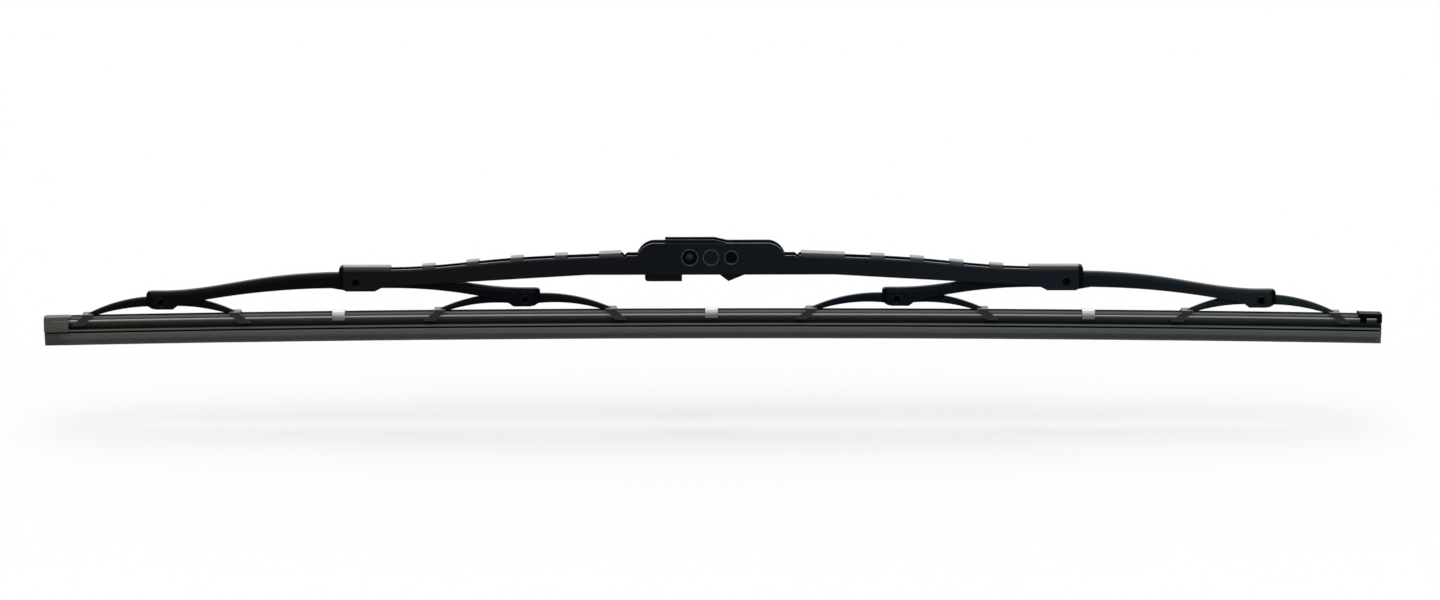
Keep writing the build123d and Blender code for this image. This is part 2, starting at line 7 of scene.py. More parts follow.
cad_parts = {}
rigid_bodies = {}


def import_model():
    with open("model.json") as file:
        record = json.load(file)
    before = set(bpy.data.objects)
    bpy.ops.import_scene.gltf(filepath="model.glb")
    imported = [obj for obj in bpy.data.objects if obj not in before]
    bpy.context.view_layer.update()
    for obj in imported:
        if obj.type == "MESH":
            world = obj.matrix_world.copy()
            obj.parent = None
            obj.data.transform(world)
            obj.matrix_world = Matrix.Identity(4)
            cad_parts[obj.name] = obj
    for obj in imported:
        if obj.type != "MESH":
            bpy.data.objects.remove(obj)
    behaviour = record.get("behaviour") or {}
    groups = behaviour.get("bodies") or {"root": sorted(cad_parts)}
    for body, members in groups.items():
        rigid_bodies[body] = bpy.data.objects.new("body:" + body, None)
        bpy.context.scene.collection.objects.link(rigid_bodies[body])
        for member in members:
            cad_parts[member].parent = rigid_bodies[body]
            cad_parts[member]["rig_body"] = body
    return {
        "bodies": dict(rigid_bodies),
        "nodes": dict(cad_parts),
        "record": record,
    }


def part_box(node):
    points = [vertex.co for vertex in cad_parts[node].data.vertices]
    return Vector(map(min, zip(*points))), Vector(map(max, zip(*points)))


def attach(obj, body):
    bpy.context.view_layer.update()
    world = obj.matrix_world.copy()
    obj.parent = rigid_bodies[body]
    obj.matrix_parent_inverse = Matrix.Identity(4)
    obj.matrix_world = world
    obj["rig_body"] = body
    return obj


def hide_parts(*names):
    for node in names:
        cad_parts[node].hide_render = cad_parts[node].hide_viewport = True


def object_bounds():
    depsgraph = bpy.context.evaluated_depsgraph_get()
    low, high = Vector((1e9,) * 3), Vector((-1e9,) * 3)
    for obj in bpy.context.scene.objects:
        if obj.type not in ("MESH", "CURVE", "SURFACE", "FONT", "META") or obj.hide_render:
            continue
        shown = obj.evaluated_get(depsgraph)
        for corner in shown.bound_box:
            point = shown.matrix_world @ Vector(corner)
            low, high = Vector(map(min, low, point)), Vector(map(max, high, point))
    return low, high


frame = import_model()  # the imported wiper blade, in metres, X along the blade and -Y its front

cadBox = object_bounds()
mm = 0.001
halfBlade = 300.0 * mm
samePoint = 0.001 * mm           # points nearer than this are one
print("frame loaded, nodes:", len(frame["nodes"]))


def deselectAll():
    if bpy.context.mode != "OBJECT":
        bpy.ops.object.mode_set(mode="OBJECT")
    bpy.ops.object.select_all(action="DESELECT")


def pickOnly(piece):
    deselectAll()
    piece.select_set(True)
    bpy.context.view_layer.objects.active = piece


def editAll(piece):
    pickOnly(piece)
    bpy.ops.object.mode_set(mode="EDIT")
    bpy.ops.mesh.select_all(action="SELECT")


def applyModifier(piece, name, kind, **settings):
    pickOnly(piece)
    modifier = piece.modifiers.new(name, kind)
    for key, value in settings.items():
        setattr(modifier, key, value)
    bpy.ops.object.modifier_apply(modifier=name)


# camera: the photo looks along +Y from a little above, through a long lens
cameraSet = {
    "elevation": 7.5,            # degrees above the horizon
    "lens": 200.0,               # mm, on a 36 mm wide sensor
    "sensor": 36.0,
    "viewWidth": 644.8 * mm,     # what the 1440 x 600 image spans at the blade
    "roll": -0.1,                # degrees: the right end stands a hair higher
    "target": Vector((4.0, -6.8, -19.1)) * mm,
    "farClip": 100.0,            # metres, past the far edge of the floor
}


def makeCamera():
    bpy.ops.object.camera_add()
    camera = bpy.context.object
    camera.name = "camera"
    camera.data.lens = cameraSet["lens"]
    camera.data.sensor_width = cameraSet["sensor"]
    camera.data.clip_end = cameraSet["farClip"]
    distance = cameraSet["viewWidth"] * cameraSet["lens"] / cameraSet["sensor"]
    tilt = math.radians(cameraSet["elevation"])
    back = Vector((0.0, -math.cos(tilt), math.sin(tilt)))
    camera.location = cameraSet["target"] + back * distance
    camera.rotation_euler = (math.pi / 2 - tilt, 0.0, 0.0)
    camera.rotation_euler.rotate_axis("Z", math.radians(cameraSet["roll"]))
    bpy.context.scene.camera = camera


deselectAll()
makeCamera()
print("camera set")

# studio: a white room with a dim ceiling, three broad soft lights and a paper floor
studioSet = {
    "wall": 1.5,                 # brightness of the walls all round, up to wallTop
    "wallTop": 0.18,             # sine of the height over the horizon
    "ceiling": 0.15,             # brightness of the ceiling, from ceilingFrom up
    "ceilingFrom": 0.4,
    "backdrop": 1.0,             # what the camera itself sees of the room: plain white
    "softLights": {"front": 44.0, "top": 0.0, "back": -44.0},  # degrees from straight down
    "softPower": 1.3,
    "softAngle": 55.0,           # degrees across each light
    "floorDrop": 36.0 * mm,      # the blade hangs this far over the floor
    "floorSize": 60.0,           # metres, enough to fill the view
    "floorRoughness": 0.9,
    "paper": "e5e5e5",           # the floor as the camera sees it
    "paperInRoom": "6b6b6b",     # the darker floor that lights the blade and mirrors in it
}
# the colour sockets of a Mix node go by number, because its other kinds of socket share their names
mixFrom, mixTo, mixed = 6, 7, 2


# sRGB hex to the linear values that shaders take
def linearColour(hexText):
    channels = []
    for start in (0, 2, 4):
        value = int(hexText[start:start + 2], 16) / 255
        channels.append(value / 12.92 if value <= 0.04045 else ((value + 0.055) / 1.055) ** 2.4)
    return (*channels, 1.0)


# one node: a setting is a property or a socket of it, a link is a socket and what feeds it
def addNode(tree, kind, settings=None, **links):
    node = tree.nodes.new(kind)
    for key, value in (settings or {}).items():
        if isinstance(key, str) and hasattr(node, key):
            setattr(node, key, value)
        else:
            node.inputs[key].default_value = value
    for socket, source in links.items():
        tree.links.new(source, node.inputs[socket.replace("_", " ")])
    return node


def makeRoom():
    world = bpy.data.worlds.new("studio")
    bpy.context.scene.world = world
    world.use_nodes = True
    tree = world.node_tree
    background = tree.nodes["Background"]
    background.inputs["Color"].default_value = linearColour("ffffff")
    direction = addNode(tree, "ShaderNodeTexCoord").outputs["Generated"]
    height = addNode(tree, "ShaderNodeSeparateXYZ", Vector=direction).outputs["Z"]
    room = addNode(tree, "ShaderNodeMapRange", {
        "From Min": studioSet["wallTop"], "From Max": studioSet["ceilingFrom"],
        "To Min": studioSet["wall"], "To Max": studioSet["ceiling"]}, Value=height)
    seen = addNode(tree, "ShaderNodeLightPath").outputs["Is Camera Ray"]
    backdrop = addNode(tree, "ShaderNodeMix", {"data_type": "FLOAT", "B": studioSet["backdrop"]},
                       Factor=seen, A=room.outputs["Result"])
    tree.links.new(backdrop.outputs["Result"], background.inputs["Strength"])


def makeSoftLights():
    for name, tilt in studioSet["softLights"].items():
        bpy.ops.object.light_add(type="SUN", rotation=(math.radians(tilt), 0.0, 0.0))
        soft = bpy.context.object
        soft.name = name + " light"
        soft.data.energy = studioSet["softPower"]
        soft.data.angle = math.radians(studioSet["softAngle"])


def makeFloor():
    floorZ = cadBox[0].z - studioSet["floorDrop"]
    bpy.ops.mesh.primitive_plane_add(size=studioSet["floorSize"], location=(0.0, 0.0, floorZ))
    floor = bpy.context.object
    floor.name = "floor"
    material = bpy.data.materials.new("matt white paper")  # no sheen, so only the soft shadow shows
    material.use_nodes = True
    tree = material.node_tree
    shader = tree.nodes["Principled BSDF"]
    shader.inputs["Roughness"].default_value = studioSet["floorRoughness"]
    shader.inputs["Specular IOR Level"].default_value = 0.0
    seen = addNode(tree, "ShaderNodeLightPath").outputs["Is Camera Ray"]
    paper = addNode(tree, "ShaderNodeMix", {
        "data_type": "RGBA", mixFrom: linearColour(studioSet["paperInRoom"]),
        mixTo: linearColour(studioSet["paper"])}, Factor=seen)
    tree.links.new(paper.outputs[mixed], shader.inputs["Base Color"])
    floor.data.materials.append(material)


makeRoom()
makeSoftLights()
makeFloor()
bpy.context.scene.view_settings.view_transform = "Standard"
print("studio set")


def startMaterial(name, base, roughness, metallic=0.0, gloss=0.5):
    material = bpy.data.materials.new(name)
    material.use_nodes = True
    tree = material.node_tree
    shader = tree.nodes["Principled BSDF"]
    shader.inputs["Base Color"].default_value = linearColour(base)
    shader.inputs["Roughness"].default_value = roughness
    shader.inputs["Metallic"].default_value = metallic
    shader.inputs["Specular IOR Level"].default_value = gloss
    place = addNode(tree, "ShaderNodeTexCoord").outputs["Object"]
    return material, tree, shader, place


def perMetre(size):
    return 1.0 / (size * mm)  # a texture scale from a real size in mm


# fine grain on softly broken edges, which is how a coated or moulded edge catches the light;
# the grain's depth and the edge are in mm
def addRelief(tree, shader, height, strength, depth, edge):
    broken = addNode(tree, "ShaderNodeBevel", {"Radius": edge * mm, "samples": 4})
    bump = addNode(tree, "ShaderNodeBump", {"Strength": strength, "Distance": depth * mm}, Height=height,
                   Normal=broken.outputs["Normal"])
    tree.links.new(bump.outputs["Normal"], shader.inputs["Normal"])


# sets a colour ramp, which starts with two stops, to a list of (place from 0 to 1, colour)
def setStops(ramp, stops):
    elements = ramp.color_ramp.elements
    for index, (level, colour) in enumerate(stops):
        stop = elements[index] if index < 2 else elements.new(1.0)
        stop.position = level
        stop.color = colour


# painted light: tones evenly spaced from the left end of the blade to the right, which give the two ends the
# different tint and brightness of the light on them
def addPaintedEndLight(tree, place, hexes):
    axes = addNode(tree, "ShaderNodeSeparateXYZ", Vector=place)
    along = addNode(tree, "ShaderNodeMapRange", {"From Min": -halfBlade, "From Max": halfBlade},
                    Value=axes.outputs["X"])
    ramp = addNode(tree, "ShaderNodeValToRGB", Fac=along.outputs["Result"])
    setStops(ramp, [(index / (len(hexes) - 1), linearColour(tone)) for index, tone in enumerate(hexes)])
    return ramp.outputs["Color"]


# black enamel on stamped steel: a little orange peel, and thicker and thinner patches of gloss
def makeEnamel(name, smooth, dull, gloss):
    paint = {
        # painted light: darker at the left end, bluer and brighter towards the right
        "tones": ["070708", "040608", "000610", "06121b", "1d2323"],
        "patch": 18.0,           # mm
        "peel": 1.6,             # mm
        "relief": {"strength": 0.25, "depth": 0.012, "edge": 0.45},
    }
    material, tree, shader, place = startMaterial(name, paint["tones"][0], dull, gloss=gloss)
    tree.links.new(addPaintedEndLight(tree, place, paint["tones"]), shader.inputs["Base Color"])
    patch = addNode(tree, "ShaderNodeTexNoise", {"Scale": perMetre(paint["patch"]), "Detail": 3.0},
                    Vector=place)
    roughness = addNode(tree, "ShaderNodeMapRange", {"To Min": smooth, "To Max": dull},
                        Value=patch.outputs["Fac"])
    tree.links.new(roughness.outputs["Result"], shader.inputs["Roughness"])
    peel = addNode(tree, "ShaderNodeTexNoise", {"Scale": perMetre(paint["peel"]), "Detail": 2.0},
                   Vector=place)
    addRelief(tree, shader, peel.outputs["Fac"], **paint["relief"])
    return material


# enamel rubbed dull and grey by the rail that it grips, with a pale line along its edges that is partly wear
# and partly a painted highlight where the edges catch the light
def makeRubbedEnamelPaintedHighlight():
    paint = {
        "dark": "151718",
        "rubbed": "2b2d2d",
        "worn": "6d7070",
        "roughness": 0.42,
        "gloss": 0.3,
        "scuff": 0.9,            # mm
        # the pale edge line is wear and a painted highlight in one
        "edge": 0.4,             # mm that the wear reaches in from an edge
        "wearFrom": 0.97,        # cosine of the turn at an edge where the wear begins
        "wearFull": 0.8,
        "relief": {"strength": 0.3, "depth": 0.02, "edge": 0.35},
    }
    material, tree, shader, place = startMaterial("rubbed black enamel", paint["dark"], paint["roughness"],
                                                  gloss=paint["gloss"])
    scuff = addNode(tree, "ShaderNodeTexNoise", {"Scale": perMetre(paint["scuff"]), "Detail": 5.0},
                    Vector=place)
    colour = addNode(tree, "ShaderNodeMix", {
        "data_type": "RGBA", mixFrom: linearColour(paint["dark"]), mixTo: linearColour(paint["rubbed"])},
                     Factor=scuff.outputs["Fac"])
    broken = addNode(tree, "ShaderNodeBevel", {"Radius": paint["edge"] * mm, "samples": 8})
    flat = addNode(tree, "ShaderNodeNewGeometry")
    turn = addNode(tree, "ShaderNodeVectorMath", {"operation": "DOT_PRODUCT"})
    tree.links.new(broken.outputs["Normal"], turn.inputs[0])
    tree.links.new(flat.outputs["True Normal"], turn.inputs[1])
    # painted highlight: a pale line where the rounded normal turns away from the face's own
    wear = addNode(tree, "ShaderNodeMapRange", {
        "From Min": paint["wearFrom"], "From Max": paint["wearFull"]}, Value=turn.outputs["Value"])
    worn = addNode(tree, "ShaderNodeMix", {"data_type": "RGBA", mixTo: linearColour(paint["worn"])},
                   Factor=wear.outputs["Result"])
    tree.links.new(colour.outputs[mixed], worn.inputs[mixFrom])
    tree.links.new(worn.outputs[mixed], shader.inputs["Base Color"])
    addRelief(tree, shader, scuff.outputs["Fac"], **paint["relief"])
    return material


# barrel-painted rivet steel: the same black, worn a little on its high spots
def makeRivetPaint():
    paint = {
        "dark": "08090c",
        "worn": "16191e",
        "roughness": 0.3,
        "gloss": 0.2,
        "grain": 0.8,            # mm
        "wearFrom": 0.5,         # height of the grain where the wear begins
        "wearFull": 0.75,
        "relief": {"strength": 0.2, "depth": 0.01, "edge": 0.3},
    }
    material, tree, shader, place = startMaterial("black rivet steel", paint["dark"], paint["roughness"],
                                                  gloss=paint["gloss"])
    grain = addNode(tree, "ShaderNodeTexNoise", {"Scale": perMetre(paint["grain"]), "Detail": 4.0},
                    Vector=place)
    wear = addNode(tree, "ShaderNodeMapRange", {
        "From Min": paint["wearFrom"], "From Max": paint["wearFull"]}, Value=grain.outputs["Fac"])
    colour = addNode(tree, "ShaderNodeMix", {
        "data_type": "RGBA", mixFrom: linearColour(paint["dark"]), mixTo: linearColour(paint["worn"])},
                     Factor=wear.outputs["Result"])
    tree.links.new(colour.outputs[mixed], shader.inputs["Base Color"])
    addRelief(tree, shader, grain.outputs["Fac"], **paint["relief"])
    return material


# moulded black plastic or a thin coat of paint: two close tones in an even grain that breaks up the
# highlights, with the grain in mm and coarser than a real one so that it shows
def makeGrained(name, dark, light, grain, roughness, gloss):
    relief = {"strength": 0.3, "depth": 0.015, "edge": 0.3}
    material, tree, shader, place = startMaterial(name, dark, roughness, gloss=gloss)
    spots = addNode(tree, "ShaderNodeTexNoise", {"Scale": perMetre(grain), "Detail": 3.0}, Vector=place)
    colour = addNode(tree, "ShaderNodeMix", {
        "data_type": "RGBA", mixFrom: linearColour(dark), mixTo: linearColour(light)},
                     Factor=spots.outputs["Fac"])
    tree.links.new(colour.outputs[mixed], shader.inputs["Base Color"])
    addRelief(tree, shader, spots.outputs["Fac"], **relief)
    return material


depthMark = "depth"              # the mark on the strip's meshes: depth under its back, in mm


# a colour times a shade that follows the depth, from a list of (depth, shade)
def shadeByDepth(tree, colour, stops):
    deepest = stops[-1][0]
    depth = addNode(tree, "ShaderNodeAttribute", {"attribute_name": depthMark}).outputs["Fac"]
    share = addNode(tree, "ShaderNodeMapRange", {"From Max": deepest}, Value=depth)
    ramp = addNode(tree, "ShaderNodeValToRGB", Fac=share.outputs["Result"])
    setStops(ramp, [(level / deepest, (shade, shade, shade, 1.0)) for level, shade in stops])
    shaded = addNode(tree, "ShaderNodeMix", {"data_type": "RGBA", "blend_type": "MULTIPLY", "Factor": 1.0})
    tree.links.new(colour, shaded.inputs[mixFrom])
    tree.links.new(ramp.outputs["Color"], shaded.inputs[mixTo])
    return shaded.outputs[mixed]


# extruded wiper rubber: matt dark grey with a dry bloom, drawn into faint streaks along the strip;
# the stops paint light and shade by depth: lighter on what stands out, and the slots and the neck painted
# black as shade
def makeRubber(name, tones, streakTone, gloss, stops=None):
    rubber = {
        "roughness": 0.5,
        "streakLong": 40.0,      # mm
        "streakHigh": 0.5,       # mm
        "streakFrom": 0.35,      # level of the noise where a streak begins
        "streakFull": 0.75,
        "streakShare": 0.5,      # of the streak's own tone at the most
        "speck": 0.35,           # mm, coarser than a real one so that it shows
        "relief": {"strength": 0.3, "depth": 0.02, "edge": 0.15},
    }
    material, tree, shader, place = startMaterial(name, tones[0], rubber["roughness"], gloss=gloss)
    long, high = perMetre(rubber["streakLong"]), perMetre(rubber["streakHigh"])
    stretch = addNode(tree, "ShaderNodeMapping", {"Scale": (long, high, high)}, Vector=place)
    streak = addNode(tree, "ShaderNodeTexNoise", {"Scale": 1.0, "Detail": 4.0},
                     Vector=stretch.outputs["Vector"])
    share = addNode(tree, "ShaderNodeMapRange", {
        "From Min": rubber["streakFrom"], "From Max": rubber["streakFull"],
        "To Max": rubber["streakShare"]}, Value=streak.outputs["Fac"])
    colour = addNode(tree, "ShaderNodeMix", {"data_type": "RGBA", mixTo: linearColour(streakTone)},
                     Factor=share.outputs["Result"])
    tree.links.new(addPaintedEndLight(tree, place, tones), colour.inputs[mixFrom])
    finished = shadeByDepth(tree, colour.outputs[mixed], stops) if stops else colour.outputs[mixed]
    tree.links.new(finished, shader.inputs["Base Color"])
    speck = addNode(tree, "ShaderNodeTexNoise", {"Scale": perMetre(rubber["speck"]), "Detail": 2.0},
                    Vector=place)
    addRelief(tree, shader, speck.outputs["Fac"], **rubber["relief"])
    return material


# rolled steel: metal with fine lines drawn along the strip, coarser than real ones so that they show; stops,
# where given, paint light and shade by depth
def makeSteel(name, tones, light, lineHigh, roughness, stops=None):
    steel = {
        "lineLong": 25.0,        # mm, as lineHigh is
        "smoothest": 0.8,        # shares of the roughness
        "dullest": 1.25,
    }
    material, tree, shader, place = startMaterial(name, tones[0], roughness, metallic=1.0)
    long, high = perMetre(steel["lineLong"]), perMetre(lineHigh)
    stretch = addNode(tree, "ShaderNodeMapping", {"Scale": (long, high, high)}, Vector=place)
    lines = addNode(tree, "ShaderNodeTexNoise", {"Scale": 1.0, "Detail": 3.0},
                    Vector=stretch.outputs["Vector"])
    colour = addNode(tree, "ShaderNodeMix", {"data_type": "RGBA", mixTo: linearColour(light)},
                     Factor=lines.outputs["Fac"])
    tree.links.new(addPaintedEndLight(tree, place, tones), colour.inputs[mixFrom])
    finished = shadeByDepth(tree, colour.outputs[mixed], stops) if stops else colour.outputs[mixed]
    tree.links.new(finished, shader.inputs["Base Color"])
    dull = addNode(tree, "ShaderNodeMapRange", {
        "To Min": roughness * steel["smoothest"], "To Max": roughness * steel["dullest"]},
                   Value=lines.outputs["Fac"])
    tree.links.new(dull.outputs["Result"], shader.inputs["Roughness"])
    return material


# depth under the back in mm, and the share of the full tone there: painted light and shade, lighter where a
# face catches the light and darker in the slots and under the rail
rubberPaintedLightStops = [
    (0.0, 0.5), (0.3, 1.6), (0.9, 1.1), (1.35, 0.6),  # head
    (1.45, 0.05), (5.2, 0.03), (5.9, 0.2),  # rail slot and neck
    (5.97, 1.4), (6.75, 1.2), (7.6, 1.5),  # shoulder and hinge
    (8.1, 1.5), (8.5, 1.26), (13.2, 1.2), (13.6, 0.85), (14.0, 0.85),  # lip and end block
]
# painted shade on the neck, greyer just under the rail and darkening down into the groove
neckPaintedShadeStops = [(0.0, 1.0), (3.0, 1.0), (3.6, 0.75), (4.4, 0.3), (5.2, 0.07), (8.0, 0.03)]
# the rail: a painted highlight along its upper edge and painted shade along its lower half
railPaintedLightStops = [(1.4, 0.75), (1.6, 1.1), (1.95, 0.95), (2.15, 0.5), (2.5, 0.45), (3.0, 0.4)]
# the finishes of the part's own material slots
finishes = {
    "lever_paint": makeEnamel("stoved black enamel", smooth=0.22, dull=0.3, gloss=0.2),
    "rivet_steel": makeRivetPaint(),
    # black nylon, made darker still as painted shade, for the adapter sits recessed behind the cheeks
    "adapter_plastic": makeGrained("moulded black nylon", "020203", "040405",
                                   grain=0.5, roughness=0.4, gloss=0.12),  # deep black, a low sheen
    "liner_plastic": makeGrained("moulded black acetal", "040506", "08090b",
                                 grain=0.7, roughness=0.45, gloss=0.03),  # black with hardly a highlight
    "rubber": makeRubber("extruded wiper rubber", ["504e4a", "535458", "4c5454"], "5e5e5e",
                         gloss=0.12, stops=rubberPaintedLightStops),
    "rail_steel": makeSteel("rolled spring steel", ["8a8674", "85847e", "6e7070"], "9a9994",
                            lineHigh=0.12, roughness=0.36, stops=railPaintedLightStops),
    "clip_steel": makeSteel("bright plated steel", ["a3a5a6", "9fa1a2"], "c6c8c8",
                            lineHigh=0.3, roughness=0.3),
    "end_clip_paint": makeGrained("satin black lacquer", "040505", "060708",
                                  grain=2.0, roughness=0.5, gloss=0.02),  # flat black, dark at every angle
}
# other finishes, on some faces or some nodes of those slots
pressedRubber = makeRubber("pressed lip pattern", ["4e4c48", "3b3c3f", "363c3c"], "404141", gloss=0.08)
# painted shade: the neck and the hinge take this rubber
paintedShadeRubber = makeRubber("sheltered rubber", ["5a5955", "545a5b"], "606162", gloss=0.03, stops=neckPaintedShadeStops)
# painted shade: the top of the strip's back is darker than the rest of the rubber, with no sheen
backPaintedShadeRubber = makeRubber("rubber with painted shade on its back", ["302f2c", "2c2e30", "2a2e2e"], "3a3a38", gloss=0.0)
# painted shade: the floor of each rivet's dish is painted black so that it reads as a deep hole in shadow
borePaintedShade = makeGrained("matt black rivet bore", "020203", "040405",
                        grain=0.8, roughness=0.6, gloss=0.02)  # reads as a deep hole
dippedEnamel = makeEnamel("dipped black enamel", smooth=0.38, dull=0.5, gloss=0.05)
rubbedEnamelPaintedHighlight = makeRubbedEnamelPaintedHighlight()
# painted light: the buttons are a paler copy of the adapter's black nylon, so that the dome reads as lit
buttonNylonPaintedLight = makeGrained("smooth moulded nylon", "17191a", "1d2021",
                          grain=0.8, roughness=0.35, gloss=0.2)  # a shade paler, so that the dome shows
# painted highlight: the rims are a paler grey than the enamel, standing in for the light ring they catch
rimPaintedHighlight = makeGrained("enamel with a painted highlight on a rim", "2a3036", "4b5258",
                        grain=0.6, roughness=0.3, gloss=0.2)  # a thin grey ring
nodeSlots = {entry["node"]: entry["material_slot"] for entry in frame["record"]["subparts"]}
for node, solid in frame["nodes"].items():
    solid.data.materials.clear()
    finish = finishes[nodeSlots[node]]
    if node.startswith(("secondary_lever", "yoke_outer", "yoke_inner")):
        finish = dippedEnamel
    if node == "adapter_rivet":
        finish = finishes["lever_paint"]  # ground flush and painted over with the hump
    solid.data.materials.append(finish)
print("finishes on", len(nodeSlots), "nodes")

# edges of all new pieces
edgeSet = {
    "roundFrom": 40.0,           # degrees: an edge that turns less stays as it is
    "roundSegments": 2,
    "smoothUpTo": 35.0,          # degrees between faces that are shaded as one
}


# a piece that starts as a copy of a CAD node, merged and with its bent edges rounded
def copyNode(node, name, rounding):
    source = frame["nodes"][node]
    pickOnly(source)
    bpy.ops.object.duplicate()
    piece = bpy.context.object
    for key in list(piece.keys()):
        del piece[key]
    piece.parent = None
    piece.matrix_world = Matrix.Identity(4)
    piece.name = piece.data.name = name
    editAll(piece)
    bpy.ops.mesh.customdata_custom_splitnormals_clear()
    bpy.ops.mesh.remove_doubles(threshold=samePoint)
    bpy.ops.mesh.tris_convert_to_quads()
    bpy.ops.object.mode_set(mode="OBJECT")
    if rounding:
        applyModifier(piece, "rounding", "BEVEL", width=rounding, segments=edgeSet["roundSegments"],
                      limit_method="ANGLE", angle_limit=math.radians(edgeSet["roundFrom"]))
    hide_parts(node)
    return piece


def smoothShade(piece):
    pickOnly(piece)
    bpy.ops.object.shade_smooth_by_angle(angle=math.radians(edgeSet["smoothUpTo"]))


# joins the other pieces to the first and shades it smooth
def joinAll(pieces, name):
    deselectAll()
    for piece in pieces:
        piece.select_set(True)
    bpy.context.view_layer.objects.active = pieces[0]
    bpy.ops.object.join()
    pieces[0].name = pieces[0].data.name = name
    smoothShade(pieces[0])
    return pieces[0]


# the strip: cut across every few mm, so that it can bend between the yokes that hold it
stripSet = {
    "back": -24.1 * mm,          # height of its back in the middle
    "bow": 2.8 * mm,             # how far its ends hang below the middle
    "halfWidth": 4.3 * mm,       # what is wider is the end block
    "blockLength": 11.05 * mm,   # of the end block on the left
    "cutEvery": 6.0 * mm,
    "railTop": 1.45 * mm,        # below the back
    "rubberRounding": 0.15 * mm,
    "railRounding": 0.12 * mm,
    "clipRounding": 0.3 * mm,
}
yokeOrder = ["outer_left", "inner_left", "inner_right", "outer_right"]


def bowDrop(x):
    radius = (halfBlade ** 2 + stripSet["bow"] ** 2) / (2.0 * stripSet["bow"])
    return radius - math.sqrt(radius ** 2 - x ** 2)


def depthUnderBack(point):
    return stripSet["back"] - bowDrop(point.x) - point.z


def cutAcross(piece, start, end, topDepth):
    count = int((end - start) / stripSet["cutEvery"])
    cuts = [start + (end - start) * index / count for index in range(1, count)]
    for place in cuts:
        editAll(piece)
        bpy.ops.mesh.bisect(plane_co=(place, 0.0, 0.0), plane_no=(1.0, 0.0, 0.0))
    deselectAll()
    for place in cuts:  # the long flats of the CAD mesh are lifted onto the true bow
        ring = [vertex for vertex in piece.data.vertices if abs(vertex.co.x - place) < samePoint]
        lift = stripSet["back"] - bowDrop(place) - topDepth - max(vertex.co.z for vertex in ring)
        for vertex in ring:
            vertex.co.z += lift


# goes from 0 to 1 between two places, gently at both ends
def easing(low, high, value):
    share = min(1.0, max(0.0, (value - low) / (high - low)))
    return share * share * (3.0 - 2.0 * share)


# each length of the strip goes with the yoke whose claws hold it, and bends smoothly between two yokes
def followYokes(piece):
    spans = []
    for first, second in zip(yokeOrder, yokeOrder[1:]):
        spans.append((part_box("yoke_" + first)[1].x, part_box("yoke_" + second)[0].x))
    for index, yoke in enumerate(yokeOrder):
        place, side = yoke.split("_")
        body = f"{place}_yoke_{side}"
        group = piece.vertex_groups.new(name=body)
        for vertex in piece.data.vertices:
            reached = easing(*spans[index - 1], vertex.co.x) if index else 1.0
            left = easing(*spans[index], vertex.co.x) if index < len(spans) else 0.0
            if reached - left > 0.0:
                group.add([vertex.index], reached - left, "REPLACE")
        hook = piece.modifiers.new("follow " + body, "HOOK")
        hook.object = frame["bodies"][body]
        hook.vertex_group = body
        hook.falloff_type = "NONE"
        hook.matrix_inverse = Matrix.Identity(4)
    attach(piece, "blade")


# the pressed pattern: a row of leaning strokes on both faces of the lip
lipSet = {
    "pitch": 1.2 * mm,
    "strokeHeight": 3.1 * mm,
    "strokeWidth": 0.62 * mm,
    "crestWidth": 0.55,          # shares of the width and the height that are left on a stroke's crest
    "crestHeight": 0.85,
    "softening": 0.08 * mm,
    "proud": 0.2 * mm,
    "sunk": 0.1 * mm,
    "lean": 38.0,                # degrees
    "lipTop": 8.1 * mm,          # this and the next two below the back of the strip
    "lipEdge": 13.2 * mm,
    "rowMiddle": 11.2 * mm,
    "halfAtTop": 2.6 * mm,       # half the thickness of the lip
    "halfAtEdge": 0.4 * mm,
    "endMargin": 1.2 * mm,
}


def makeLipPattern(start, end):
    slope = (lipSet["halfAtTop"] - lipSet["halfAtEdge"]) / (lipSet["lipEdge"] - lipSet["lipTop"])
    thickness = lipSet["proud"] + lipSet["sunk"]
    deselectAll()
    bpy.ops.mesh.primitive_cube_add(size=1.0)
    strokes = bpy.context.object
    strokes.name = strokes.data.name = "lip_pattern"
    editAll(strokes)
    bpy.ops.transform.resize(value=(lipSet["strokeWidth"], thickness, lipSet["strokeHeight"]))
    bpy.ops.object.mode_set(mode="OBJECT")
    for vertex in strokes.data.vertices:
        if vertex.co.y < 0.0:
            vertex.co.x *= lipSet["crestWidth"]
            vertex.co.z *= lipSet["crestHeight"]
    applyModifier(strokes, "softened", "BEVEL", width=lipSet["softening"], segments=1)
    middleZ = stripSet["back"] - lipSet["rowMiddle"]
    faceY = lipSet["halfAtEdge"] + slope * (lipSet["lipEdge"] - lipSet["rowMiddle"])
    seat = Matrix.Translation((0.0, (lipSet["sunk"] - lipSet["proud"]) / 2, 0.0))
    lean = Matrix.Rotation(math.radians(lipSet["lean"]), 4, "Y")
    taper = Matrix.Rotation(math.atan(slope), 4, "X")
    shift = Matrix.Translation((start, -faceY, middleZ))
    strokes.data.transform(shift @ (taper @ lean) @ seat)
    count = int((end - start) / lipSet["pitch"]) + 1
    applyModifier(strokes, "row", "ARRAY", count=count, use_relative_offset=False, use_constant_offset=True,
                  constant_offset_displace=(lipSet["pitch"], 0.0, 0.0))
    applyModifier(strokes, "rear", "MIRROR", use_axis=(False, True, False), use_mirror_merge=False)
    editAll(strokes)
    bpy.ops.mesh.normals_make_consistent(inside=False)
    bpy.ops.object.mode_set(mode="OBJECT")
    for vertex in strokes.data.vertices:
        vertex.co.z -= bowDrop(vertex.co.x)
    strokes.data.materials.append(pressedRubber)
    return strokes


